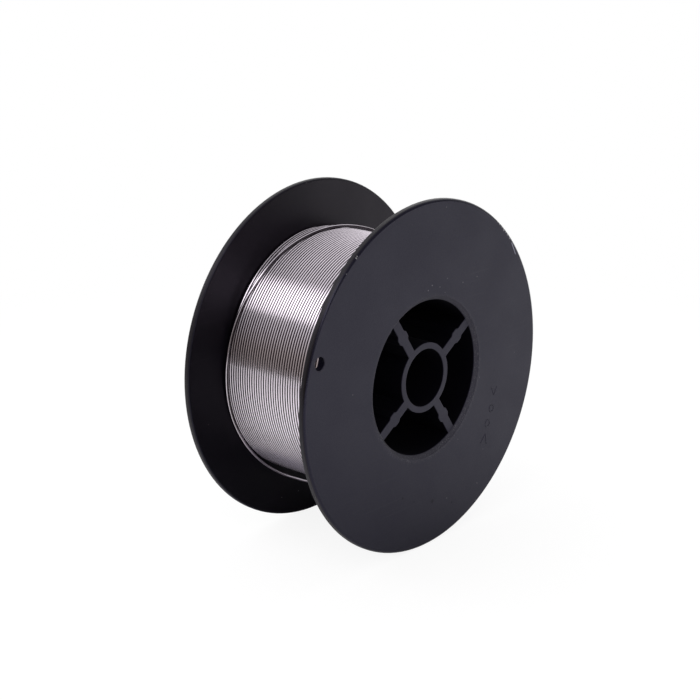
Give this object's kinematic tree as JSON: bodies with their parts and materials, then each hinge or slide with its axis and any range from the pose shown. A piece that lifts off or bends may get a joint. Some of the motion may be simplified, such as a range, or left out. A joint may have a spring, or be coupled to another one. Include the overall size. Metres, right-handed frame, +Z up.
{
  "type": "wire spool",
  "caption": "Black moulded two-part spool with a spindle bore, spoked hub and thin flanges, full of level-wound bare silver wire with a loose last turn.",
  "frame": {"origin": "on the axis of the spindle bore, at the middle of the spool's width", "axes": "+Y along the spindle axis from the near half to the far half, +Z up as the spool stands on its two rims, +X to the right when looking along +Y"},
  "size_m": [0.1, 0.0459, 0.1],
  "materials": {
    "spool_plastic": "dark grey to black moulded plastic, fine satin grain",
    "wire_metal": "bare drawn wire, bright with a soft sheen along its length"
  },
  "bodies": {
    "root": {"near_half": "spool_plastic", "far_half": "spool_plastic", "inner_winding": "wire_metal", "top_layer": "wire_metal", "last_turn": "wire_metal"}
  },
  "joints": []
}
